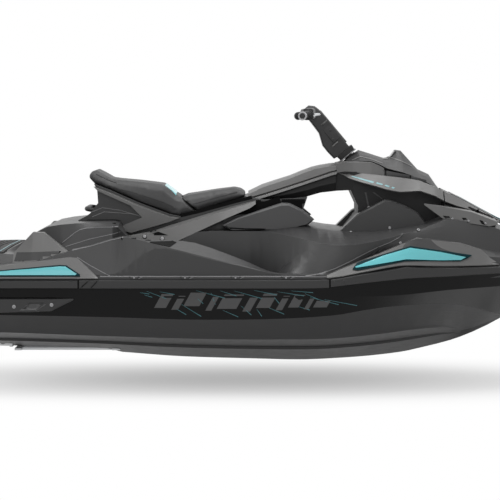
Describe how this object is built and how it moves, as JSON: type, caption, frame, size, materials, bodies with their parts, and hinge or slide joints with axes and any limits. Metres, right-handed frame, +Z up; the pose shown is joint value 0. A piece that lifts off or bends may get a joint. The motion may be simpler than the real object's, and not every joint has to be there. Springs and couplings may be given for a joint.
{
  "type": "personal watercraft",
  "caption": "Sit-down personal watercraft with a stepped V hull, a spine-and-pillar deck, turning handlebars, a steered jet nozzle with reverse bucket and a lifting hood.",
  "frame": {"origin": "on the centreline at mid-length, at the height of the waterline", "axes": "+X towards the bow, +Y to port, +Z up"},
  "size_m": [3.3482, 1.22, 1.1872],
  "materials": {
    "hull_matte": "fine satin gelcoat",
    "hull_gloss": "polished near-black gelcoat",
    "deck": "satin charcoal moulded deck",
    "duct_black": "textured black",
    "frame_grey": "satin mid grey paint",
    "teal": "glossy",
    "pad": "soft-touch charcoal",
    "dash": "textured",
    "rubber": "extruded rubber",
    "trim_black": "textured black",
    "mat": "grooved foam mat",
    "seat": "marine vinyl",
    "cast_aluminium": "cast and machined",
    "steel": "stainless",
    "steel_black": "black powder coat",
    "engine": "plain block",
    "grip": "ribbed"
  },
  "bodies": {
    "hull": {"bow_bumper": "rubber", "bow_eye": "steel", "bow_inserts": "teal", "bow_shoulders": "frame_grey", "dash_base": "frame_grey", "dash_pod": "dash", "deck": "deck", "engine_block": "engine", "footwell_mats": "mat", "grab_handle": "trim_black", "hood_blades": "frame_grey", "hull_bottom": "hull_matte", "hull_topsides": "hull_gloss", "intake_grate": "cast_aluminium", "knee_pads": "pad", "leg_cowls": "deck", "pedestal": "deck", "platform_mat": "mat", "pump_carrier": "cast_aluminium", "pump_housing": "cast_aluminium", "rear_pods": "frame_grey", "ride_plate": "cast_aluminium", "rub_rails": "rubber", "seat_front": "seat", "seat_rear": "seat", "side_frames": "frame_grey", "side_wings": "frame_grey", "spine_beam": "duct_black", "spine_cover": "frame_grey", "sponsons": "trim_black", "stern_bumper": "rubber", "stern_eyes": "steel", "stern_inserts": "teal", "stern_shoulders": "frame_grey", "storage_bin": "trim_black", "tail_frames": "frame_grey", "tow_eye": "steel", "tower": "duct_black"},
    "steering": {"steering_neck": "trim_black", "handlebar": "steel_black", "grips": "grip", "switch_pods": "trim_black", "levers": "cast_aluminium"},
    "nozzle": {"nozzle": "cast_aluminium"},
    "bucket": {"reverse_bucket": "cast_aluminium"},
    "impeller": {"impeller": "steel"},
    "hood": {"hood": "deck", "hood_edges": "frame_grey"}
  },
  "joints": [
    {"name": "steering_turn", "type": "hinge", "parent": "hull", "child": "steering", "pos_m": [0.447, 0, 0.716], "axis": [-0.6428, 0, 0.766], "range_deg": [-22, 22]},
    {"name": "nozzle_yaw", "type": "hinge", "parent": "hull", "child": "nozzle", "pos_m": [-1.4, 0, -0.07], "axis": [0, 0, 1], "range_deg": [-22, 22]},
    {"name": "bucket_drop", "type": "hinge", "parent": "hull", "child": "bucket", "pos_m": [-1.45, 0, -0.045], "axis": [0, -1, 0], "range_deg": [0, 68]},
    {"name": "impeller_spin", "type": "hinge", "parent": "hull", "child": "impeller", "pos_m": [-1.18, 0, -0.07], "axis": [1, 0, 0], "continuous": true},
    {"name": "hood_lift", "type": "hinge", "parent": "hull", "child": "hood", "pos_m": [1.29, 0, 0.352], "axis": [0, 1, 0], "range_deg": [0, 55]}
  ],
  "couplings": [
    {"joint": "nozzle_yaw", "follows": "steering_turn", "ratio": -1}
  ]
}
